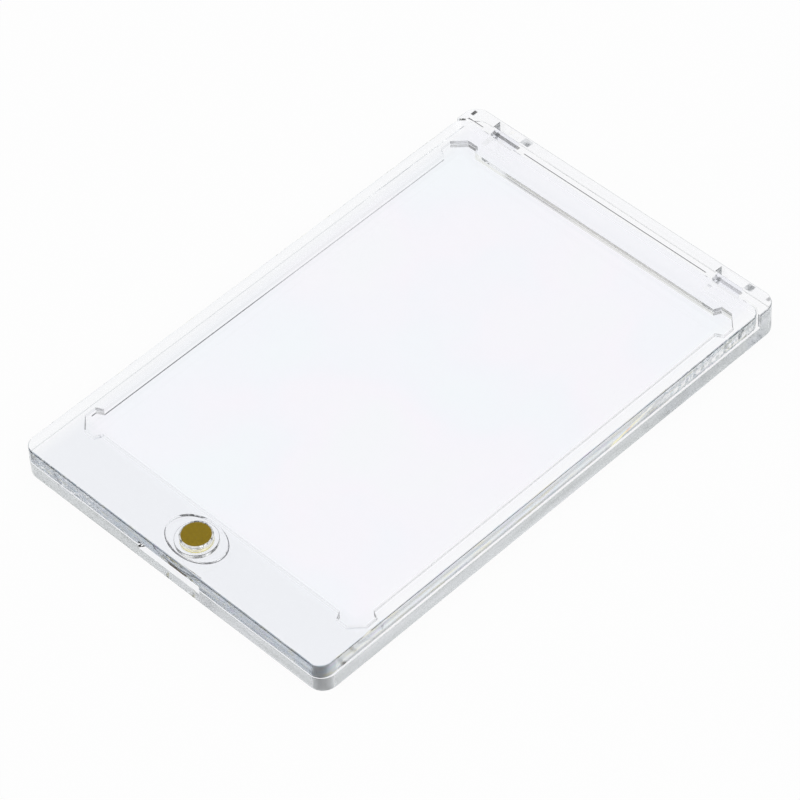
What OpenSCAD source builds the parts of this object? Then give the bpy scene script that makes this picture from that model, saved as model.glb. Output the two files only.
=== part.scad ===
// Clear two-part display case for one trading card, held shut by a pair of magnets.
// Millimetres. X runs across the card, +Y runs towards the end bar, +Z is up.
// The origin is at the middle of the underside.

/* [Card] */
// Width of the card that the case holds
card_w = 63.5; // [55:0.5:80]
// Length of the card that the case holds
card_l = 88.9; // [80:0.1:110]
// Room left around the card on each side
card_gap = 0.5; // [0.1:0.05:1]
// Depth of the card recess in each half
recess_d = 0.75; // [0.4:0.05:1]

/* [Base] */
// Thickness of the base plate
base_t = 3.3; // [3.2:0.1:6]
// Border of the base beside the card recess
side_border = 3.75; // [3.5:0.05:8]
// Border of the base from the card recess to the magnet end
magnet_border = 11.6; // [11:0.1:20]
// Radius of the upright corners of the base
base_corner_r = 3; // [2.5:0.1:3.5]
// Radius of the outer edges of both halves
edge_r = 0.3; // [0.1:0.05:0.45]

/* [Lid] */
// Thickness of the lid
lid_t = 3; // [2.8:0.1:6]
// Distance of the lid's long edges inside those of the base
lid_inset = 0.3; // [0.1:0.05:0.5]
// Distance of the lid's magnet end inside that of the base
lid_end_inset = 0.1; // [0:0.05:0.5]
// Border of the lid from the card recess to its hinge edge
hinge_border = 4.35; // [4:0.05:8]
// Radius of the upright corners of the lid
lid_corner_r = 2.5; // [2:0.1:3]
// Air gap between the closed halves
seam_gap = 0.1; // [0.05:0.05:0.3]

/* [Corner reliefs] */
// How far each corner relief reaches outside the card recess
relief_out = 1.4; // [0.8:0.1:2]
// Length of the straight side of a relief, from the corner of the recess inwards
relief_in = 3.2; // [2:0.1:6]
// Length of the slanted step where a relief begins
relief_step = 0.7; // [0.3:0.1:1.2]
// Leg of the chamfer across the outer corner of a relief
relief_chamfer = 2.3; // [1:0.1:2.5]

/* [End bar and tabs] */
// Width of the bar at the hinge end of the base
bar_w = 3.6; // [3.4:0.1:8]
// Gap between the lid's hinge edge and the bar
bar_gap = 0.3; // [0.2:0.05:0.5]
// Length of the bar's ends that wrap round the lid's corners
bar_horn = 1.2; // [0.6:0.1:1.4]
// Distance from the middle of the case to the middle of each slot
slot_x = 26.45; // [15:0.05:27]
// Width of each slot in the bar
slot_w = 6.1; // [4:0.05:12]
// Width of the bridge over each slot, next to the lid
bridge_w = 1.5; // [1:0.1:1.7]
// Thickness of the bridge over each slot
bridge_t = 1.5; // [1.2:0.1:1.6]
// Clearance between a tab and the sides of its slot
tab_side_gap = 0.25; // [0.1:0.05:0.5]
// Clearance between a tab and the bridge above it
tab_top_gap = 0.15; // [0.1:0.05:0.3]
// Length of each tab past the far side of its bridge
tab_grip = 0.9; // [0.6:0.1:1.1]
// Clearance between the tip of a tab and the wall that closes its slot
tab_tip_gap = 0.65; // [0.3:0.05:0.8]
// Clearance under and in front of a tab as the lid swings
swing_gap = 0.2; // [0.1:0.05:0.4]
// Angle at which the tabs are free to slide out, in degrees
open_angle = 45; // [20:1:60]

/* [Magnets] */
// Diameter of each magnet
magnet_d = 5.7; // [4:0.1:6.5]
// Thickness of each magnet
magnet_t = 1.5; // [1:0.1:1.6]
// Radius of the rounded rims of a magnet
magnet_rim_r = 0.4; // [0.1:0.05:0.45]
// Glue gap round a magnet and over its outer face
glue_gap = 0.05; // [0.02:0.01:0.1]
// Distance from the magnet end of the base to the middle of the magnets
magnet_inset = 6.6; // [6:0.1:10]
// Height of the round boss that lifts the base magnet into the lid
boss_h = 0.75; // [0.3:0.05:0.8]
// Wall of the boss round the base magnet
boss_wall = 0.9; // [0.6:0.05:1.2]
// Width across the case of the oval pocket in the lid that takes the boss
pocket_w = 12; // [9:0.1:14]
// Length along the case of that oval pocket
pocket_l = 8.5; // [8:0.1:8.8]
// Clearance over the boss
boss_top_gap = 0.1; // [0.05:0.05:0.2]

/* [Thumb notch] */
// Width of the thumb notch at the outer face
thumb_w = 14.7; // [8:0.1:24]
// Depth of the thumb notch from the outer face
thumb_in = 1.1; // [0.5:0.1:1.4]
// Height that the thumb notch takes out of each half
thumb_h = 0.8; // [0.4:0.1:1.2]
// How far each end of the thumb notch slants inwards
thumb_slant = 0.8; // [0.2:0.1:2]

/* [Hidden] */
// Outline of the base
recess_w = card_w + 2 * card_gap;
recess_l = card_l + 2 * card_gap;
base_w = recess_w + 2 * side_border;
base_l = magnet_border + recess_l + hinge_border + bar_gap + bar_w;
front_y = -base_l / 2;
back_y = base_l / 2;
recess_y = front_y + magnet_border + recess_l / 2;

// Outline and levels of the lid
lid_w = base_w - 2 * lid_inset;
lid_front_y = front_y + lid_end_inset;
lid_back_y = back_y - bar_w - bar_gap;
lid_l = lid_back_y - lid_front_y;
lid_y = (lid_back_y + lid_front_y) / 2;
lid_z = base_t + seam_gap;
top_z = lid_z + lid_t;

// Hinge axis, which is the centre of the rounded hinge edge of the lid
hinge_y = lid_back_y - edge_r;
hinge_z = top_z - edge_r;

// Tabs of the lid
tab_w = slot_w - 2 * tab_side_gap;
tab_top_z = top_z - bridge_t - tab_top_gap;
tab_h = tab_top_z - lid_z;
tab_out = bar_gap + bridge_w + tab_grip;
tab_root = 2;

// Slots of the base, cut to the sweep of the tabs
slot_mid_y = back_y - bar_w + bridge_w;
slot_far_y = slot_mid_y + tab_grip + tab_tip_gap;
tab_tip_y = lid_back_y + tab_out - hinge_y;
tab_drop = hinge_z - lid_z;
swing_r = sqrt(tab_tip_y * tab_tip_y + tab_drop * tab_drop);
slot_floor_z = hinge_z - swing_r - swing_gap;
plate_drop = hinge_z - base_t;
cross_t = (plate_drop - tab_drop * cos(open_angle)) / sin(open_angle);
slot_in = tab_drop * sin(open_angle) - cross_t * cos(open_angle) + swing_gap;

// Magnets
magnet_y = front_y + magnet_inset;
boss_r = magnet_d / 2 + glue_gap + boss_wall;
boss_top_z = base_t + boss_h;
pocket_z = boss_top_z + boss_top_gap;
base_magnet_z = boss_top_z - glue_gap - magnet_t;
lid_magnet_z = pocket_z + glue_gap;

// Overlap of cutting shapes past the faces that they cut
cut = 1;
// Facets of a full circle
$fn = 64;

// Rectangle with rounded corners, centred
module rounded_rect(w, l, r) {
    square([w - 2 * r, l], center = true);
    square([w, l - 2 * r], center = true);
    for (sx = [-1, 1], sy = [-1, 1])
        translate([sx * (w / 2 - r), sy * (l / 2 - r)]) circle(r = r);
}

// Section through a plate whose upper edges are rounded, and its lower ones too if both is true
module plate_section(w, h, r, both) {
    low = both ? r : 0;
    translate([-w / 2, low]) square([w, h - r - low]);
    translate([-w / 2 + r, 0]) square([w - 2 * r, h]);
    for (s = [-1, 1]) {
        translate([s * (w / 2 - r), h - r]) circle(r = r);
        if (both) translate([s * (w / 2 - r), r]) circle(r = r);
    }
}

// Right half of that section, for turning into a rounded corner
module corner_section(corner_r, h, r, both) {
    intersection() {
        plate_section(2 * corner_r, h, r, both);
        square([corner_r, h]);
    }
}

// Plate with rounded upright corners and rounded outer edges, standing on z = 0
module plate(w, l, h, corner_r, r, both) {
    translate([0, l / 2 - corner_r, 0]) rotate([90, 0, 0])
        linear_extrude(l - 2 * corner_r) plate_section(w, h, r, both);
    translate([-w / 2 + corner_r, 0, 0]) rotate([90, 0, 90])
        linear_extrude(w - 2 * corner_r) plate_section(l, h, r, both);
    for (sx = [-1, 1], sy = [-1, 1])
        translate([sx * (w / 2 - corner_r), sy * (l / 2 - corner_r), 0])
            rotate_extrude() corner_section(corner_r, h, r, both);
}

// Quarter of the card recess with the relief at its corner
module recess_quarter() {
    x = recess_w / 2;
    y = recess_l / 2;
    polygon([
        [0, 0],
        [x, 0],
        [x, y - relief_in - relief_step],
        [x + relief_out, y - relief_in],
        [x + relief_out, y + relief_out - relief_chamfer],
        [x + relief_out - relief_chamfer, y + relief_out],
        [x - relief_in, y + relief_out],
        [x - relief_in - relief_step, y],
        [0, y]
    ]);
}

// Outline of the card recess
module recess_outline() {
    translate([0, recess_y])
        for (sx = [0, 1], sy = [0, 1])
            mirror([sx, 0]) mirror([0, sy]) recess_quarter();
}

// Card recess from one level up to another
module card_recess(z0, z1) {
    translate([0, 0, z0]) linear_extrude(z1 - z0) recess_outline();
}

// Thumb notch at the magnet end from one level up to another
module thumb_notch(z0, z1) {
    translate([0, front_y, z0]) linear_extrude(z1 - z0)
        polygon([
            [-thumb_w / 2, -cut],
            [thumb_w / 2, -cut],
            [thumb_w / 2, 0],
            [thumb_w / 2 - thumb_slant, thumb_in],
            [-thumb_w / 2 + thumb_slant, thumb_in],
            [-thumb_w / 2, 0]
        ]);
}

// Space above the base plate that the lid lies in, open at the magnet end
module lid_space() {
    space_w = lid_w + 2 * bar_gap;
    translate([0, lid_y, base_t]) linear_extrude(top_z)
        rounded_rect(space_w, lid_l + 2 * bar_gap, lid_corner_r + bar_gap);
    translate([-base_w, -base_l, base_t])
        cube([2 * base_w, base_l + lid_back_y + bar_gap - bar_horn, top_z]);
}

// Slot in the bar: a tunnel under a bridge next to the lid, and a pocket open above past it
module slot(x) {
    translate([x - slot_w / 2, hinge_y - slot_in, slot_floor_z])
        cube([slot_w, slot_far_y - hinge_y + slot_in, top_z - bridge_t - slot_floor_z]);
    translate([x - slot_w / 2, slot_mid_y, slot_floor_z])
        cube([slot_w, slot_far_y - slot_mid_y, top_z + cut - slot_floor_z]);
}

// Lower half: plate, end bar and magnet boss
module base_shell() {
    color("lightcyan", 0.4) difference() {
        union() {
            difference() {
                plate(base_w, base_l, top_z, base_corner_r, edge_r, true);
                lid_space();
            }
            translate([0, magnet_y, base_t - cut]) cylinder(r = boss_r, h = boss_h + cut);
        }
        card_recess(base_t - recess_d, base_t + cut);
        thumb_notch(base_t - thumb_h, base_t + cut);
        translate([0, magnet_y, base_magnet_z])
            cylinder(r = magnet_d / 2 + glue_gap, h = magnet_t + glue_gap + cut);
        for (s = [-1, 1]) slot(s * slot_x);
    }
}

// Tab on the lid's hinge edge that reaches under a bridge
module tab(x) {
    translate([x - tab_w / 2, lid_back_y - tab_root, lid_z])
        cube([tab_w, tab_root + tab_out, tab_h]);
}

// Upper half: window with two tabs
module lid_shell() {
    color("azure", 0.4) difference() {
        union() {
            translate([0, lid_y, lid_z]) plate(lid_w, lid_l, lid_t, lid_corner_r, edge_r, false);
            for (s = [-1, 1]) tab(s * slot_x);
        }
        card_recess(lid_z - cut, lid_z + recess_d);
        thumb_notch(lid_z - cut, lid_z + thumb_h);
        translate([0, magnet_y, lid_z - cut]) linear_extrude(pocket_z - lid_z + cut)
            scale([pocket_w / 2, pocket_l / 2]) circle(r = 1);
        translate([0, magnet_y, lid_z])
            cylinder(r = magnet_d / 2 + glue_gap, h = lid_magnet_z + magnet_t - lid_z);
    }
}

// Disc magnet with rounded rims, standing on z = 0
module magnet() {
    rotate_extrude() corner_section(magnet_d / 2, magnet_t, magnet_rim_r, true);
}

// Magnet glued into the boss of the base
module base_magnet() {
    color("gold") translate([0, magnet_y, base_magnet_z]) magnet();
}

// Magnet glued into the lid, over the boss
module lid_magnet() {
    color("gold") translate([0, magnet_y, lid_magnet_z]) magnet();
}

base_shell();
lid_shell();
base_magnet();
lid_magnet();
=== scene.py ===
import math

import bmesh
import bpy
import numpy as np
from mathutils import Matrix, Vector


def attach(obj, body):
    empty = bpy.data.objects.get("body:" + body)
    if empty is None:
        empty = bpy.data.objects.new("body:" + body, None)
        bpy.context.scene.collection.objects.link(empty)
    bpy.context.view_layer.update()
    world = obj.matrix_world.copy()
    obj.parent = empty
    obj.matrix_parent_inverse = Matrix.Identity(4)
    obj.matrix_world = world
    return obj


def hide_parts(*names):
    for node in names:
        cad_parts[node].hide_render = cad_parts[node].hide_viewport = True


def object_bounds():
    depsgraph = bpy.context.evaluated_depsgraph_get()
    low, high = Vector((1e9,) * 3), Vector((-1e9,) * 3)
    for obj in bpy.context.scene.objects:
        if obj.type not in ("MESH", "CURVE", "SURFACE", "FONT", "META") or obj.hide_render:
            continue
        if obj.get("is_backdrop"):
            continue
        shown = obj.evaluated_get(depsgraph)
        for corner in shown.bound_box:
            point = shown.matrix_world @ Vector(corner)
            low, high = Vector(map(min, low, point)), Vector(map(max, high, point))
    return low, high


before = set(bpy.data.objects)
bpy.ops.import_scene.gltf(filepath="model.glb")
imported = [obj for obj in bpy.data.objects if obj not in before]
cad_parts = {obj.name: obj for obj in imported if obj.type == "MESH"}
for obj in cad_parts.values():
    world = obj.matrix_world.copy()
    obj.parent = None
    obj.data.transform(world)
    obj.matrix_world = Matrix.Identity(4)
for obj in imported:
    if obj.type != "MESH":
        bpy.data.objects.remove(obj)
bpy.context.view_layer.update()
scene = bpy.context.scene
scene.view_settings.view_transform = "Standard"
scene.cycles.max_bounces = 64
scene.cycles.transmission_bounces = 64
scene.cycles.glossy_bounces = 64

MM = 0.001
ACRYLIC_IOR = 1.49

# Edges between faces that turn by more than SHARP can take a bevel of up to FINE_EDGE millimetres
SHARP = math.radians(28)
FINE_EDGE = 0.22

# Camera, found from the straight edges of the case in the photograph
VIEW_AZIMUTH = 47.86
VIEW_ELEVATION = 47.92
VIEW_ROLL = -4.15
VIEW_DISTANCE = 729.6 * MM
VIEW_AIM = Vector((-0.09 * MM, -1.09 * MM, 0))
LENS = 193.2
SENSOR = 36.0

# Finishes of a half's faces, by their place in its list of materials
CLEAR, EDGE, SIDE, WALL, STEP, REAR, SLOT_END, CHAMFER = range(8)

# Outlines of the two halves and of the card recess, in millimetres
BASE_HALF = (36.0, 54.875)
BASE_MIDDLE = (0.0, 0.0)
BASE_CORNER = 3.0
LID_HALF = (35.7, 52.875)
LID_MIDDLE = (0.0, -1.9)
LID_CORNER = 2.5
RECESS_X = 32.25
RECESS_FRONT = -43.275
RECESS_BACK = 46.625

# Heights of the faces and places along the case, in millimetres
RECESS_FLOOR = 2.55
BASE_TOP = 3.3
LID_UNDER = 3.4
BOSS_TOP = 4.05
TOP = 6.4
RELIEF_BACK = 48.025
BAR_FRONT = 51.275
SLOT_FRONT = 52.775
NOTCH_BACK = -53.775

# Discs and the round boss that holds the lower one, in millimetres
MAGNET_Y = -48.275
DISC_RADIUS = 2.92
DISC_RIM = 0.33
DISC_FACE = 2.6
BOSS_RADIUS = 3.8

# Marks of painted shade along the rear edge of the lid where it passes the slots, from x to x in millimetres
REAR_MARKS = ((-30.1, -28.8), (-27.8, -26.5), (-22.8, -21.0), (22.7, 23.3), (24.3, 25.8), (31.4, 32.2))


def photo_camera():
    """Camera that looks at VIEW_AIM from VIEW_DISTANCE away, turned by VIEW_ROLL about its own axis."""
    azimuth = math.radians(VIEW_AZIMUTH)
    elevation = math.radians(VIEW_ELEVATION)
    roll = math.radians(VIEW_ROLL)
    back = Vector((
        math.sin(azimuth) * math.cos(elevation),
        -math.cos(azimuth) * math.cos(elevation),
        math.sin(elevation),
    ))
    level_right = Vector((math.cos(azimuth), math.sin(azimuth), 0))
    level_up = back.cross(level_right)
    right = level_right * math.cos(roll) + level_up * math.sin(roll)
    up = level_up * math.cos(roll) - level_right * math.sin(roll)
    turn = Matrix((right, up, back)).transposed().to_4x4()
    data = bpy.data.cameras.new("photo_camera")
    data.lens = LENS
    data.sensor_width = SENSOR
    camera = bpy.data.objects.new("photo_camera", data)
    scene.collection.objects.link(camera)
    camera.matrix_world = Matrix.Translation(VIEW_AIM + back * VIEW_DISTANCE) @ turn
    scene.camera = camera


class Finish:
    """A material's node tree, with a short call for each kind of step in it."""

    def __init__(self, name):
        self.material = bpy.data.materials.new(name)
        self.material.use_nodes = True
        self.nodes = self.material.node_tree.nodes
        self.links = self.material.node_tree.links
        self.nodes.clear()

    def put(self, socket, value):
        if isinstance(value, bpy.types.NodeSocket):
            self.links.new(value, socket)
        else:
            socket.default_value = value

    def step(self, kind, operation, values):
        node = self.nodes.new(kind)
        node.operation = operation
        for socket, value in zip(node.inputs, values):
            self.put(socket, value)
        return node.outputs["Value"] if operation == "LENGTH" else node.outputs[0]

    def sum(self, operation, *values):
        return self.step("ShaderNodeMath", operation, values)

    def vector(self, operation, *values):
        return self.step("ShaderNodeVectorMath", operation, values)

    def place(self):
        """Place on the case in millimetres, as a vector and as x, y and z."""
        coordinates = self.nodes.new("ShaderNodeTexCoord")
        place = self.vector("MULTIPLY", coordinates.outputs["Object"], (1000.0, 1000.0, 1000.0))
        parts = self.nodes.new("ShaderNodeSeparateXYZ")
        self.links.new(place, parts.inputs[0])
        return place, parts.outputs[0], parts.outputs[1], parts.outputs[2]

    def rise(self, value, low, high):
        """0 below low, 1 above high and smooth between them, or falling where low is above high."""
        node = self.nodes.new("ShaderNodeMapRange")
        node.interpolation_type = "SMOOTHSTEP"
        self.put(node.inputs["Value"], value)
        node.inputs["From Min"].default_value = low
        node.inputs["From Max"].default_value = high
        return node.outputs[0]

    def band(self, value, low, high, soft):
        """1 between low and high, fading out over soft at either end."""
        start = self.rise(value, low - soft / 2, low + soft / 2)
        end = self.rise(value, high + soft / 2, high - soft / 2)
        return self.sum("MULTIPLY", start, end)

    def join(self, operation, masks):
        mask = masks[0]
        for other in masks[1:]:
            mask = self.sum(operation, mask, other)
        return mask

    def all_of(self, *masks):
        return self.join("MULTIPLY", masks)

    def any_of(self, *masks):
        return self.join("MAXIMUM", masks)

    def noise(self, place, scale, detail=2.0, rough=0.5):
        node = self.nodes.new("ShaderNodeTexNoise")
        self.links.new(place, node.inputs["Vector"])
        node.inputs["Scale"].default_value = scale
        node.inputs["Detail"].default_value = detail
        node.inputs["Roughness"].default_value = rough
        return node.outputs[0]

    def ramp(self, value, *stops):
        """Colour from a value, with stops given as (place, colour)."""
        node = self.nodes.new("ShaderNodeValToRGB")
        self.put(node.inputs[0], value)
        ramp = node.color_ramp
        while len(ramp.elements) < len(stops):
            ramp.elements.new(1.0)
        for element, (where, colour) in zip(ramp.elements, stops):
            element.position = where
            element.color = (*colour, 1)
        return node.outputs[0]

    def mix(self, share, first, second):
        """Colour between two others, by a share."""
        node = self.nodes.new("ShaderNodeMix")
        node.data_type = "RGBA"
        self.put(node.inputs["Factor"], share)
        for socket, value in ((node.inputs[6], first), (node.inputs[7], second)):
            self.put(socket, (*value, 1) if isinstance(value, tuple) else value)
        return node.outputs[2]

    def outward(self):
        """1 where light meets the surface from outside, 0 where it meets it from inside the plastic."""
        node = self.nodes.new("ShaderNodeNewGeometry")
        return self.sum("SUBTRACT", 1.0, node.outputs["Backfacing"])

    def out(self, shader):
        node = self.nodes.new("ShaderNodeOutputMaterial")
        self.links.new(shader.outputs[0], node.inputs["Surface"])
        return self.material


def clear_shader(finish, colour, roughness, bend=ACRYLIC_IOR):
    """Transparent plastic that bends light by its refractive index."""
    shader = finish.nodes.new("ShaderNodeBsdfPrincipled")
    finish.put(shader.inputs["IOR"], bend)
    shader.inputs["Transmission Weight"].default_value = 1.0
    shader.inputs["Specular Tint"].default_value = (0.25, 0.25, 0.25, 1)
    finish.put(shader.inputs["Base Color"], colour)
    finish.put(shader.inputs["Roughness"], roughness)
    return shader


def window_colour(finish, place, x, y):
    """Clear acrylic with faint tints, paler in the card recess than round it, and clearest on the left."""
    tints = finish.noise(place, 0.035, 2.0, 0.5)
    tint = finish.ramp(
        tints,
        (0.34, (0.968, 0.986, 1.0)),
        (0.46, (0.972, 0.978, 1.0)),
        (0.54, (0.984, 0.976, 1.0)),
        (0.66, (0.978, 0.983, 0.996)),
    )
    inside = finish.all_of(
        finish.band(x, -RECESS_X, RECESS_X, 0.1), finish.band(y, RECESS_FRONT, RECESS_BACK, 0.1)
    )
    border = finish.mix(finish.rise(y, 46.6, 49.0), (0.944, 0.952, 0.971), (0.970, 0.972, 0.992))
    border = finish.mix(finish.rise(x, -32.6, -34.8), border, (0.992, 0.995, 1.0))
    right = finish.all_of(finish.rise(x, 32.1, 32.3), finish.rise(y, -46.0, -36.0))
    border = finish.mix(right, border, (0.986, 0.988, 0.996))
    return finish.mix(inside, border, tint)


def clear_acrylic(name):
    """Polished clear acrylic of the plain faces."""
    finish = Finish(name)
    place, x, y, _ = finish.place()
    return finish.out(clear_shader(finish, window_colour(finish, place, x, y), 0.0))


def lid_sides():
    """Outer edge of the lid, its light and shade painted in: bluish painted shade in front, paler on the
    sides, with streaks and curls of painted shade and highlight, painted coloured reflections, a painted warm
    glint and beads of painted highlight.
    """
    finish = Finish("lid_sides")
    place, x, y, z = finish.place()
    # Painted shade in streaks: bluish grey in front, plainer grey towards the rear
    streaks = finish.noise(finish.vector("MULTIPLY", place, (0.16, 0.16, 1.9)), 1.0, 3.0, 0.6)
    front = finish.ramp(
        streaks,
        (0.32, (0.15, 0.18, 0.21)),
        (0.46, (0.24, 0.27, 0.32)),
        (0.56, (0.28, 0.31, 0.36)),
        (0.68, (0.48, 0.52, 0.56)),
    )
    height = finish.sum("MULTIPLY_ADD", streaks, 0.12, finish.sum("MULTIPLY_ADD", z, 1 / 3.0, -3.46 / 3.0))
    # Bands of painted highlight and painted shade by height along the sides
    side = finish.ramp(
        height,
        (0.08, (0.42, 0.43, 0.44)),
        (0.17, (0.24, 0.25, 0.27)),
        (0.28, (0.62, 0.64, 0.66)),
        (0.42, (0.84, 0.86, 0.88)),
        (0.56, (0.62, 0.65, 0.66)),
        (0.70, (0.46, 0.48, 0.49)),
        (0.88, (0.56, 0.58, 0.60)),
        (0.97, (0.86, 0.87, 0.89)),
    )
    rear = finish.ramp(
        streaks, (0.35, (0.34, 0.36, 0.37)), (0.50, (0.46, 0.49, 0.50)), (0.65, (0.60, 0.62, 0.64))
    )
    side = finish.mix(finish.rise(y, 14.0, 34.0), side, rear)
    tone = finish.mix(finish.rise(y, -53.6, -51.8), front, side)
    # Painted light: a pale bluish corner at the front right, also rougher
    corner = finish.all_of(finish.rise(x, 33.2, 34.4), finish.rise(y, -50.6, -52.0))
    tone = finish.mix(corner, tone, (0.84, 0.90, 1.0))
    # Painted coloured reflections, yellowish, cyan and violet, over the whole edge
    reflection_hues = finish.noise(finish.vector("MULTIPLY", place, (0.5, 0.20, 1.4)), 1.0, 1.0, 0.5)
    reflection_hue = finish.ramp(
        reflection_hues,
        (0.34, (1.0, 0.96, 0.72)),
        (0.43, (0.97, 1.0, 1.0)),
        (0.52, (1.0, 1.0, 1.0)),
        (0.60, (0.80, 0.97, 1.0)),
        (0.68, (0.94, 0.86, 1.0)),
    )
    tone = finish.vector("MULTIPLY", tone, reflection_hue)
    # Curls of painted highlight and painted dark reflection, on the left and towards the rear
    curls = finish.noise(finish.vector("MULTIPLY", place, (0.9, 0.9, 1.3)), 1.0, 1.5, 0.5)
    bright = finish.band(curls, 0.496, 0.530, 0.024)
    dark = finish.band(curls, 0.425, 0.455, 0.030)
    patches = finish.any_of(finish.rise(x, -12.0, -20.0), finish.rise(y, 20.0, 30.0))
    tone = finish.mix(finish.all_of(dark, patches), tone, (0.07, 0.09, 0.11))
    tone = finish.mix(finish.all_of(bright, patches), tone, (1.0, 1.0, 1.0))
    # Painted warm glint: a slanting yellow and orange streak on the right side
    lift = finish.sum("SUBTRACT", z, finish.sum("MULTIPLY_ADD", y, 0.17, 1.35))
    warm_glint = finish.all_of(
        finish.band(finish.sum("MULTIPLY_ADD", curls, 0.5, lift), -0.02, 0.52, 0.2),
        finish.band(y, 13.2, 23.5, 2.0),
        finish.rise(x, 30.0, 34.0),
    )
    glint_colours = finish.ramp(
        finish.sum("MULTIPLY_ADD", y, 0.1, -1.3),
        (0.10, (1.0, 0.93, 0.45)),
        (0.36, (1.0, 0.86, 0.40)),
        (0.44, (0.86, 0.40, 0.28)),
        (0.52, (1.0, 0.93, 0.52)),
        (0.90, (0.98, 1.0, 0.86)),
    )
    tone = finish.mix(warm_glint, tone, glint_colours)
    # Beads of painted highlight in a row near the rear of the right side
    beads = finish.sum("SINE", finish.sum("MULTIPLY", y, 3.3))
    ring = finish.band(finish.sum("MULTIPLY_ADD", beads, 0.5, curls), 0.42, 0.98, 0.3)
    bead = finish.all_of(
        ring,
        finish.band(z, 4.0, 5.0, 0.5),
        finish.band(y, 27.0, 48.0, 6.0),
        finish.rise(x, 30.0, 34.0),
    )
    tone = finish.mix(bead, tone, (1.0, 1.0, 1.0))
    # The painted light and shade show from outside; from inside the plastic the edge is nearly clear
    colour = finish.mix(finish.outward(), (0.97, 0.975, 0.99), tone)
    roughness = finish.sum("MULTIPLY", finish.outward(), finish.sum("MULTIPLY_ADD", corner, 0.35, 0.13))
    return finish.out(clear_shader(finish, colour, roughness))


def base_sides():
    """Outer edge of the base: painted shade in an even pale grey with long soft streaks, darker painted shade
    at the rear corner and painted light at the front right corner.
    """
    finish = Finish("base_sides")
    place, x, y, z = finish.place()
    # Painted shade: an even pale grey in long soft streaks
    streaks = finish.noise(finish.vector("MULTIPLY", place, (0.045, 0.045, 0.75)), 1.0, 2.5, 0.5)
    tone = finish.ramp(
        streaks,
        (0.34, (0.34, 0.365, 0.375)),
        (0.46, (0.42, 0.45, 0.46)),
        (0.56, (0.45, 0.48, 0.50)),
        (0.68, (0.54, 0.56, 0.59)),
    )
    # Darker painted shade low on the side at the rear right corner
    shade = finish.all_of(
        finish.rise(y, 52.2, 53.2), finish.band(z, 0.9, 2.5, 0.5), finish.rise(x, 30.0, 34.0)
    )
    tone = finish.mix(shade, tone, (0.12, 0.13, 0.14))
    # Painted light: a paler, rougher corner at the front right
    corner = finish.all_of(finish.rise(x, 33.0, 34.4), finish.rise(y, -51.6, -53.2))
    tone = finish.mix(corner, tone, (0.86, 0.90, 0.94))
    colour = finish.mix(finish.outward(), (0.97, 0.975, 0.98), tone)
    roughness = finish.sum("MULTIPLY", finish.outward(), finish.sum("MULTIPLY_ADD", corner, 0.35, 0.15))
    return finish.out(clear_shader(finish, colour, roughness))


def rear_left_relief(finish, x, y):
    """1 on the far wall of the relief at the rear left corner of the card recess."""
    far = finish.rise(y, RELIEF_BACK - 0.325, RELIEF_BACK - 0.125)
    return finish.all_of(far, finish.rise(x, -20.0, -25.0))


def base_walls():
    """Walls of the card recess in the base, with painted shade: a dark line along the foot on the left, a
    grey band on the hinge side, and dark on the relief at the rear left."""
    finish = Finish("base_recess_walls")
    place, x, y, z = finish.place()
    shade_noise = finish.noise(place, 0.6, 2.0, 0.5)
    left = finish.all_of(
        finish.rise(x, -31.9, -32.2), finish.band(y, RECESS_FRONT + 2.2, RECESS_BACK - 3.5, 0.1)
    )
    # Painted shade: a dark line along the foot of the left wall, darkest towards the front
    foot = finish.all_of(left, finish.band(z, 2.5, 2.86, 0.04))
    shade = finish.mix(finish.rise(y, -6.0, 8.0), (0.05, 0.05, 0.055), (0.32, 0.32, 0.34))
    hinge = finish.rise(y, RECESS_BACK - 0.3, RECESS_BACK - 0.1)
    # Painted shade in bands by height on the hinge wall: olive grey on the right, deeper on the left, pale at
    # the far left
    level = finish.sum("MULTIPLY_ADD", shade_noise, 0.10, z)
    shade_tone = finish.ramp(
        finish.sum("SUBTRACT", level, RECESS_FLOOR),
        (0.10, (0.92, 0.92, 0.88)),
        (0.34, (0.90, 0.90, 0.85)),
        (0.46, (0.72, 0.72, 0.66)),
        (0.62, (0.66, 0.66, 0.60)),
        (0.82, (0.60, 0.60, 0.54)),
    )
    deep = finish.ramp(
        finish.sum("SUBTRACT", level, RECESS_FLOOR),
        (0.06, (0.92, 0.92, 0.90)),
        (0.24, (0.84, 0.84, 0.82)),
        (0.44, (0.46, 0.46, 0.45)),
        (0.60, (0.28, 0.28, 0.28)),
        (0.82, (0.24, 0.24, 0.24)),
    )
    band = finish.mix(finish.rise(x, -2.0, -10.0), shade_tone, deep)
    band = finish.mix(finish.rise(x, -20.0, -22.0), band, (0.94, 0.94, 0.86))
    # Painted dark shade on the far wall of the relief at the rear left
    relief = rear_left_relief(finish, x, y)
    colour = finish.mix(foot, (0.99, 0.99, 1.0), shade)
    colour = finish.mix(hinge, colour, band)
    colour = finish.mix(relief, colour, (0.10, 0.10, 0.10))
    return finish.out(clear_shader(finish, colour, 0.0))


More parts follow.
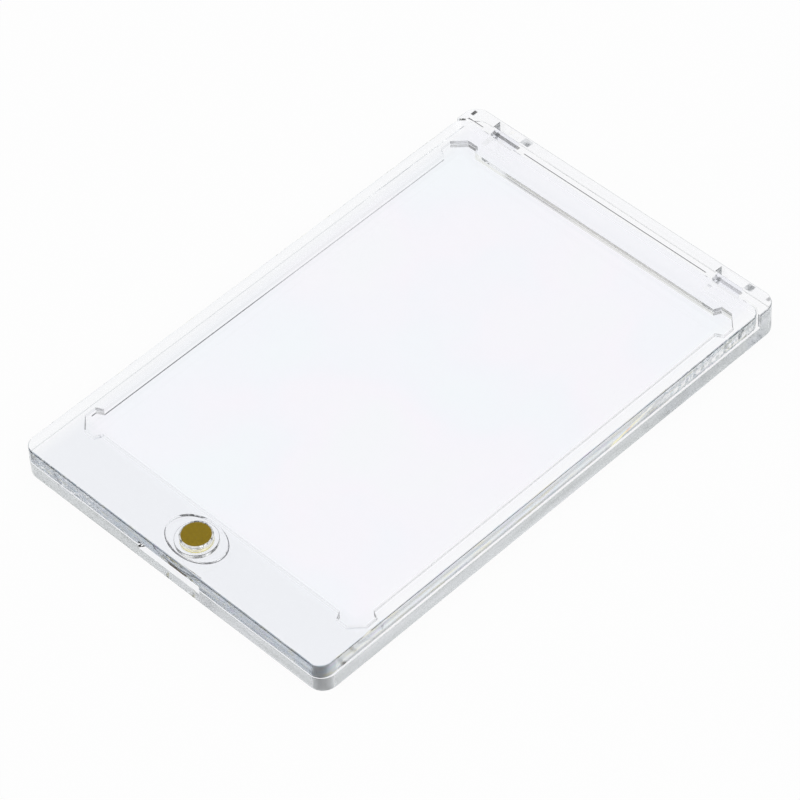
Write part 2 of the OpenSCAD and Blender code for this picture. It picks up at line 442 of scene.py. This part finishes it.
def lid_walls():
    """Walls of the card recess in the lid: clear, with a grey band of painted shade on the hinge side and
    painted dark shade on the relief at the rear left."""
    finish = Finish("lid_recess_walls")
    place, x, y, z = finish.place()
    # Painted shade in bands by height on the hinge wall, pale at the far left
    level = finish.sum("MULTIPLY_ADD", finish.noise(place, 0.6, 2.0, 0.5), 0.10, z)
    band = finish.ramp(
        finish.sum("SUBTRACT", level, LID_UNDER),
        (0.10, (0.48, 0.48, 0.42)),
        (0.30, (0.34, 0.34, 0.29)),
        (0.55, (0.42, 0.42, 0.38)),
        (0.72, (0.30, 0.30, 0.28)),
        (0.84, (0.24, 0.24, 0.22)),
    )
    band = finish.mix(finish.rise(x, -20.0, -22.0), band, (0.92, 0.92, 0.84))
    hinge = finish.rise(y, RECESS_BACK - 0.3, RECESS_BACK - 0.1)
    colour = finish.mix(hinge, (0.99, 0.99, 1.0), band)
    relief = rear_left_relief(finish, x, y)
    colour = finish.mix(relief, colour, (0.20, 0.20, 0.20))
    return finish.out(clear_shader(finish, colour, 0.0))


def facet_streaks(finish, place):
    """Short upright streaks of painted shade on the slanted faces of the reliefs."""
    return finish.noise(finish.vector("MULTIPLY", place, (2.5, 2.5, 0.6)), 1.0, 2.0, 0.5)


def facet_shader(finish, colour):
    """Acrylic that is matt from outside. From inside light goes straight through it, because a polished face
    at this slant would trap it."""
    bend = finish.sum("MULTIPLY_ADD", finish.outward(), ACRYLIC_IOR - 1.0, 1.0)
    return clear_shader(finish, colour, finish.outward(), bend)


def step_facets():
    """Steps at the ends of the corner reliefs: matt, with pale grey painted shade."""
    finish = Finish("relief_steps")
    streaks = facet_streaks(finish, finish.place()[0])
    pale = finish.ramp(streaks, (0.40, (0.46, 0.47, 0.48)), (0.52, (0.84, 0.85, 0.86)))
    colour = finish.mix(finish.outward(), pale, (1.0, 1.0, 1.0))
    return finish.out(facet_shader(finish, colour))


def chamfer_facets():
    """Chamfers across the corners of the reliefs: dark painted shade, but painted pale at the front right and
    the rear left.
    """
    finish = Finish("relief_chamfers")
    place, x, y, _ = finish.place()
    streaks = facet_streaks(finish, place)
    dark = finish.ramp(
        streaks, (0.40, (0.16, 0.165, 0.17)), (0.52, (0.34, 0.345, 0.35)), (0.60, (0.80, 0.80, 0.81))
    )
    # Painted light: the chamfers at the front right and the rear left are pale
    front_right = finish.all_of(finish.rise(y, 10.0, -10.0), finish.rise(x, -10.0, 10.0))
    colour = finish.mix(front_right, dark, (0.90, 0.90, 0.91))
    rear_left = finish.all_of(finish.rise(y, -10.0, 10.0), finish.rise(x, 10.0, -10.0))
    colour = finish.mix(rear_left, colour, (0.96, 0.96, 0.97))
    return finish.out(facet_shader(finish, colour))


def slot_ends():
    """End walls of the bar's slots, with dark painted shade where a slot is open, and clear under its bridge.
    """
    finish = Finish("slot_ends")
    place, _, y, _ = finish.place()
    shade_noise = finish.noise(place, 0.9, 2.0, 0.5)
    dark = finish.ramp(shade_noise, (0.35, (0.12, 0.13, 0.14)), (0.65, (0.34, 0.35, 0.36)))
    open_part = finish.rise(y, SLOT_FRONT - 0.075, SLOT_FRONT + 0.025)
    colour = finish.mix(open_part, (0.97, 0.973, 0.985), dark)
    return finish.out(clear_shader(finish, colour, finish.sum("MULTIPLY", open_part, 0.12)))


def bar_top():
    """Top of the end bar: clear, with grey strips of painted shade along the slots' bridges, painted shade
    beside the slots, a thin dark line of painted shade along the lid and a dark painted patch near each end."""
    finish = Finish("bar_top")
    place, x, y, _ = finish.place()
    clear = (0.97, 0.973, 0.985)
    # Painted shade over the near half of each slot's bridge, darker on the left slot
    strip = finish.band(y, BAR_FRONT + 0.045, BAR_FRONT + 0.745, 0.08)
    right = finish.all_of(strip, finish.band(x, 24.2, 30.3, 0.15))
    left = finish.all_of(strip, finish.band(x, -28.7, -22.3, 0.15))
    between = finish.any_of(finish.band(x, -20.8, 22.4, 0.3), finish.band(x, -34.4, -30.8, 0.3))
    # Painted shade in the gap between the lid and the bar, between the slots and left of the left slot
    lid_gap_shade = finish.all_of(finish.rise(y, BAR_FRONT + 0.225, BAR_FRONT + 0.145), between)
    beside = finish.band(y, 52.95, 54.45, 0.12)
    ends = finish.all_of(
        beside, finish.any_of(finish.band(x, 29.6, 31.1, 0.3), finish.band(x, -23.3, -21.4, 0.3))
    )
    shade_noise = finish.noise(place, 0.9, 2.0, 0.5)
    shade = finish.ramp(shade_noise, (0.35, (0.16, 0.17, 0.18)), (0.60, (0.62, 0.64, 0.66)))
    # Dark painted patches near the bar's ends, darker on the left
    tips = finish.any_of(
        finish.all_of(finish.band(x, -34.9, -34.2, 0.2), finish.band(y, 52.3, 53.5, 0.2)),
        finish.all_of(finish.band(x, 34.2, 34.9, 0.3), finish.band(y, 53.4, 54.3, 0.3)),
    )
    colour = finish.mix(right, clear, (0.42, 0.42, 0.43))
    colour = finish.mix(lid_gap_shade, colour, (0.06, 0.06, 0.065))
    colour = finish.mix(left, colour, (0.17, 0.17, 0.17))
    colour = finish.mix(ends, colour, shade)
    tip = finish.mix(finish.rise(x, -10.0, 10.0), (0.02, 0.02, 0.02), (0.30, 0.30, 0.31))
    colour = finish.mix(tips, colour, tip)
    return finish.out(clear_shader(finish, colour, 0.0))


def lid_rear():
    """Rounded rear edge of the lid, with short marks of painted shade where it passes the slots."""
    finish = Finish("lid_rear_edge")
    place, x, _, _ = finish.place()
    marks = finish.any_of(*(finish.band(x, start, end, 0.2) for start, end in REAR_MARKS))
    shade_noise = finish.noise(place, 1.2, 2.0, 0.5)
    shade_tone = finish.ramp(shade_noise, (0.35, (0.14, 0.14, 0.15)), (0.65, (0.50, 0.50, 0.52)))
    return finish.out(clear_shader(finish, finish.mix(marks, (0.975, 0.978, 0.99), shade_tone), 0.0))


def edge_acrylic():
    """The fine rounded edges of the moulding, painted dark as lines of painted shade, darker than the faces
    beside them.
    """
    finish = Finish("acrylic_edges")
    # Painted shade: the bevels are tinted nearly black
    dots = finish.noise(finish.place()[0], 1.1, 3.0, 0.6)
    colour = finish.ramp(dots, (0.35, (0.015, 0.015, 0.017)), (0.65, (0.10, 0.10, 0.11)))
    return finish.out(clear_shader(finish, colour, 0.1))


def gold_plate():
    """Bright gold plating, with dark olive painted shade on the flat faces, a pale painted reflection round
    the lower disc and a silvery painted reflection on the rim of the upper one."""
    finish = Finish("gold_plate")
    place, _, _, z = finish.place()
    gold_tone_noise = finish.noise(place, 2.4, 4.0, 0.6)
    # Painted shade: the flat faces are dark olive
    face = finish.ramp(gold_tone_noise, (0.35, (0.250, 0.168, 0.004)), (0.65, (0.310, 0.212, 0.008)))
    flat = finish.vector("MULTIPLY", place, (1.0, 1.0, 0.0))
    reach = finish.vector("LENGTH", finish.vector("SUBTRACT", flat, (0.0, MAGNET_Y, 0.0)))
    rim = finish.rise(reach, DISC_FACE - 0.02, DISC_FACE + 0.04)
    # Painted reflection: silvery streaks, some dark, on the upper part of the upper disc's side and rim
    reflection_streaks = finish.noise(finish.vector("MULTIPLY", place, (1.6, 1.6, 0.3)), 1.0, 2.0, 0.6)
    silver_reflection = finish.ramp(
        reflection_streaks, (0.34, (0.08, 0.08, 0.07)), (0.42, (0.55, 0.54, 0.50)), (0.54, (0.94, 0.93, 0.90))
    )
    side = finish.ramp(gold_tone_noise, (0.35, (0.72, 0.58, 0.05)), (0.65, (0.92, 0.82, 0.16)))
    side = finish.mix(finish.rise(z, 4.60, 4.75), side, silver_reflection)
    colour = finish.mix(rim, face, side)
    # Painted reflection: near white on the lower part of the lower disc
    colour = finish.mix(finish.rise(z, 3.54, 3.42), colour, (0.92, 0.92, 0.90))
    shader = finish.nodes.new("ShaderNodeBsdfPrincipled")
    shader.inputs["Metallic"].default_value = 1.0
    finish.put(shader.inputs["Base Color"], colour)
    finish.put(shader.inputs["Roughness"], finish.sum("MULTIPLY_ADD", gold_tone_noise, 0.12, 0.10))
    return finish.out(shader)


def magnet(name, low, high, radius, rim):
    """Disc with rounded rims: the profile (0, low), round the lower rim, up, round the upper rim and back to
    (0, high), turned about the upright line through the middle of the magnets. The first and last rings are
    closed by one point each."""
    turns = np.linspace(0.0, math.tau, 96, endpoint=False)
    arc = np.linspace(-math.pi / 2, 0.0, 9)
    inner = radius - rim
    flat = np.array([inner * 0.45, inner * 0.8])
    reach = np.concatenate([flat, inner + rim * np.cos(arc), inner + rim * np.cos(-arc[::-1]), flat[::-1]])
    lower = low + rim + rim * np.sin(arc)
    upper = high - rim + rim * np.sin(-arc[::-1])
    height = np.concatenate([np.full(2, low), lower, upper, np.full(2, high)])
    rings = np.stack([
        reach[:, None] * np.cos(turns)[None, :],
        MAGNET_Y + reach[:, None] * np.sin(turns)[None, :],
        np.repeat(height[:, None], len(turns), axis=1),
    ], axis=-1).reshape(-1, 3)
    ends = np.array([[0.0, MAGNET_Y, low], [0.0, MAGNET_Y, high]])
    points = np.concatenate([rings, ends]) * MM
    count, steps = len(reach), len(turns)
    ring, spot = np.meshgrid(np.arange(count - 1), np.arange(steps), indexing="ij")
    after = (spot + 1) % steps
    walls = np.stack([
        ring * steps + spot, ring * steps + after, (ring + 1) * steps + after, (ring + 1) * steps + spot
    ], axis=-1).reshape(-1, 4)
    here = np.arange(steps)
    following = (here + 1) % steps
    foot = np.stack([np.full(steps, count * steps), following, here], axis=-1)
    last = (count - 1) * steps
    head = np.stack([np.full(steps, count * steps + 1), last + here, last + following], axis=-1)
    mesh = bpy.data.meshes.new(name)
    mesh.from_pydata(points.tolist(), [], walls.tolist() + foot.tolist() + head.tolist())
    mesh.shade_smooth()
    piece = bpy.data.objects.new(name, mesh)
    scene.collection.objects.link(piece)
    return piece


def shell_copy(name, node, wanted, width, finishes, sort):
    """Copy of a CAD half with its vertices merged and its flat faces joined. Sharp edges whose middle is
    wanted get a narrow bevel in the second finish. sort gives each face's finish from its middle and its
    direction."""
    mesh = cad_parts[node].data.copy()
    mesh.name = name
    work = bmesh.new()
    work.from_mesh(mesh)
    bmesh.ops.remove_doubles(work, verts=work.verts, dist=0.002 * MM)
    bmesh.ops.dissolve_limit(
        work, angle_limit=math.radians(0.2), verts=work.verts, edges=work.edges, delimit=set()
    )
    weight = work.edges.layers.float.new("bevel_weight_edge")
    for edge in work.edges:
        middle = (edge.verts[0].co + edge.verts[1].co) / 2 / MM
        sharp = len(edge.link_faces) == 2 and edge.calc_face_angle() > SHARP
        edge[weight] = wanted(*middle) if sharp else 0.0
    work.to_mesh(mesh)
    work.free()
    mesh.materials.clear()
    for finish in finishes:
        mesh.materials.append(finish)
    count = len(mesh.polygons)
    middles = np.empty(count * 3)
    mesh.polygons.foreach_get("center", middles)
    ways = np.empty(count * 3)
    mesh.polygons.foreach_get("normal", ways)
    chosen = sort(middles.reshape(-1, 3) / MM, ways.reshape(-1, 3)).astype(np.int32)
    mesh.polygons.foreach_set("material_index", chosen)
    piece = bpy.data.objects.new(name, mesh)
    scene.collection.objects.link(piece)
    bevel = piece.modifiers.new("fine_edges", "BEVEL")
    bevel.limit_method = "WEIGHT"
    bevel.width = width * MM
    bevel.segments = 2
    bevel.material = EDGE
    return piece


def past_outline(middle, half, corner, at):
    """Distance of points outwards from a rounded rectangle, negative inside it."""
    away = np.abs(at[:, :2] - middle) - (np.array(half) - corner)
    return np.linalg.norm(np.maximum(away, 0.0), axis=1) - corner


def recess_sort(chosen, at, way, low, high):
    """Finish of the card recess's upright walls between two heights, with its steps and chamfers."""
    upright = (np.abs(way[:, 2]) < 0.1) & (at[:, 2] > low) & (at[:, 2] < high)
    near = (np.abs(at[:, 0]) < 34.0) & (at[:, 1] > -45.0) & (at[:, 1] < 48.4)
    slanted = (np.abs(way[:, 0]) > 0.2) & (np.abs(way[:, 1]) > 0.2) & (np.abs(at[:, 0]) > 27.0)
    equal = np.abs(np.abs(way[:, 0]) - np.abs(way[:, 1])) < 0.1
    chosen[upright & near] = WALL
    chosen[upright & near & slanted] = STEP
    chosen[upright & near & slanted & equal] = CHAMFER


def sort_base(at, way):
    """Finish of each face of the base."""
    chosen = np.full(len(at), CLEAR)
    recess_sort(chosen, at, way, RECESS_FLOOR - 0.05, BASE_TOP + 0.05)
    chosen[(at[:, 2] > TOP - 0.05) & (at[:, 1] > 51.0)] = REAR
    faces_right = (way[:, 0] > 0.9) & (at[:, 1] > 51.2) & (at[:, 1] < 54.4) & (np.abs(at[:, 0]) < 30.0)
    chosen[faces_right] = SLOT_END
    chosen[past_outline(BASE_MIDDLE, BASE_HALF, BASE_CORNER, at) > -0.2] = SIDE
    return chosen


def sort_lid(at, way):
    """Finish of each face of the lid."""
    chosen = np.full(len(at), CLEAR)
    recess_sort(chosen, at, way, LID_UNDER - 0.02, 4.2)
    past = past_outline(LID_MIDDLE, LID_HALF, LID_CORNER, at)
    chosen[(past > -0.2) & (past < 0.2)] = SIDE
    chosen[(at[:, 1] > 50.6) & (at[:, 1] < 50.99) & (at[:, 2] > 5.5) & (np.abs(at[:, 0]) < 33.0)] = REAR
    return chosen


def floor():
    """Pale floor just under the case, white to the camera and through the acrylic, with the case's shadow."""
    size = 3.0
    low = -0.05 * MM
    mesh = bpy.data.meshes.new("floor")
    mesh.from_pydata(
        [(-size, -size, low), (size, -size, low), (size, size, low), (-size, size, low)], [], [(0, 1, 2, 3)]
    )
    piece = bpy.data.objects.new("floor", mesh)
    scene.collection.objects.link(piece)
    finish = Finish("white_floor")
    paper = finish.nodes.new("ShaderNodeBsdfDiffuse")
    paper.inputs["Color"].default_value = (0.8, 0.8, 0.8, 1)
    glow = finish.nodes.new("ShaderNodeEmission")
    glow.inputs["Strength"].default_value = 1.0
    path = finish.nodes.new("ShaderNodeLightPath")
    seen = finish.any_of(
        path.outputs["Is Camera Ray"], path.outputs["Is Glossy Ray"], path.outputs["Is Transmission Ray"]
    )
    share = finish.sum("MULTIPLY", seen, 0.95)
    mix = finish.nodes.new("ShaderNodeMixShader")
    finish.put(mix.inputs["Fac"], share)
    finish.links.new(paper.outputs[0], mix.inputs[1])
    finish.links.new(glow.outputs[0], mix.inputs[2])
    mesh.materials.append(finish.out(mix))
    piece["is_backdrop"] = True


def studio():
    """Bright soft surroundings, darker towards the horizon, and plain white behind the case."""
    world = bpy.data.worlds.new("studio")
    scene.world = world
    world.use_nodes = True
    nodes = world.node_tree.nodes
    links = world.node_tree.links
    nodes.clear()
    out = nodes.new("ShaderNodeOutputWorld")
    way = nodes.new("ShaderNodeTexCoord")
    parts = nodes.new("ShaderNodeSeparateXYZ")
    links.new(way.outputs["Generated"], parts.inputs[0])
    height = nodes.new("ShaderNodeMapRange")
    height.interpolation_type = "SMOOTHSTEP"
    height.inputs["From Min"].default_value = 0.0
    height.inputs["From Max"].default_value = 0.62
    links.new(parts.outputs[2], height.inputs["Value"])
    shade = nodes.new("ShaderNodeMix")
    shade.data_type = "RGBA"
    shade.inputs[6].default_value = (0.42, 0.44, 0.47, 1)
    shade.inputs[7].default_value = (0.90, 0.90, 0.90, 1)
    links.new(height.outputs[0], shade.inputs["Factor"])
    sky = nodes.new("ShaderNodeBackground")
    links.new(shade.outputs[2], sky.inputs["Color"])
    white = nodes.new("ShaderNodeBackground")
    path = nodes.new("ShaderNodeLightPath")
    mix = nodes.new("ShaderNodeMixShader")
    links.new(path.outputs["Is Camera Ray"], mix.inputs["Fac"])
    links.new(sky.outputs[0], mix.inputs[1])
    links.new(white.outputs[0], mix.inputs[2])
    links.new(mix.outputs[0], out.inputs["Surface"])


def soft_box(name, place, aim, size, power):
    data = bpy.data.lights.new(name, "AREA")
    data.shape = "RECTANGLE"
    data.size, data.size_y = size
    data.energy = power
    lamp = bpy.data.objects.new(name, data)
    scene.collection.objects.link(lamp)
    way = (Vector(aim) - Vector(place)).to_track_quat("-Z", "Y")
    lamp.matrix_world = Matrix.Translation(Vector(place)) @ way.to_matrix().to_4x4()


def base_edge(x, y, z):
    """Weight of the fine lines of painted shade along the base's edges: the right side of the card recess,
    the slots and the rim of the boss."""
    right = abs(z - BASE_TOP) < 0.02 and 31.9 < x < 34.0 and -44.8 < y < 48.2
    slots = abs(z - TOP) < 0.02 and abs(x) < 30 and 52 < y < 54
    boss = abs(z - BOSS_TOP) < 0.02 and abs(math.hypot(x, y - MAGNET_Y) - BOSS_RADIUS) < 0.1
    return 0.42 * right + 0.3 * slots + 0.3 * boss


def lid_edge(x, y, z):
    """Weight of the fine lines of painted shade along the lid's edges: the oval pocket over the boss and the
    inner side of the thumb notch."""
    reach = math.hypot(x, y - MAGNET_Y)
    pocket = abs(z - LID_UNDER) < 0.02 and 4.0 < reach < 6.3 and y < -43.8
    notch = abs(x) < 7.6 and abs(y - NOTCH_BACK) < 0.1
    return 1.0 * pocket + 0.6 * notch


photo_camera()
studio()
floor()
soft_box("side_box", (0.9, -0.2, 0.9), (0, 0, 0), (0.8, 0.8), 2)

edges = edge_acrylic()
steps = step_facets()
chamfers = chamfer_facets()
base_finishes = (
    clear_acrylic("clear_base"), edges, base_sides(), base_walls(), steps, bar_top(), slot_ends(), chamfers
)
base = shell_copy("base_half", "base_shell", base_edge, FINE_EDGE, base_finishes, sort_base)
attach(base, "base")
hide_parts("base_shell")
rear = lid_rear()
lid_finishes = (clear_acrylic("clear_lid"), edges, lid_sides(), lid_walls(), steps, rear, rear, chamfers)
lid = shell_copy("lid_half", "lid_shell", lid_edge, FINE_EDGE, lid_finishes, sort_lid)
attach(lid, "lid")
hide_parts("lid_shell")

gold = gold_plate()
for name, node, body, low, high in (
    ("base_disc", "base_magnet", "base", 2.52, 4.0),
    ("lid_disc", "lid_magnet", "lid", 4.2, 5.72),
):
    disc = magnet(name, low, high, DISC_RADIUS, DISC_RIM)
    disc.data.materials.append(gold)
    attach(disc, body)
    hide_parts(node)

low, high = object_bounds()
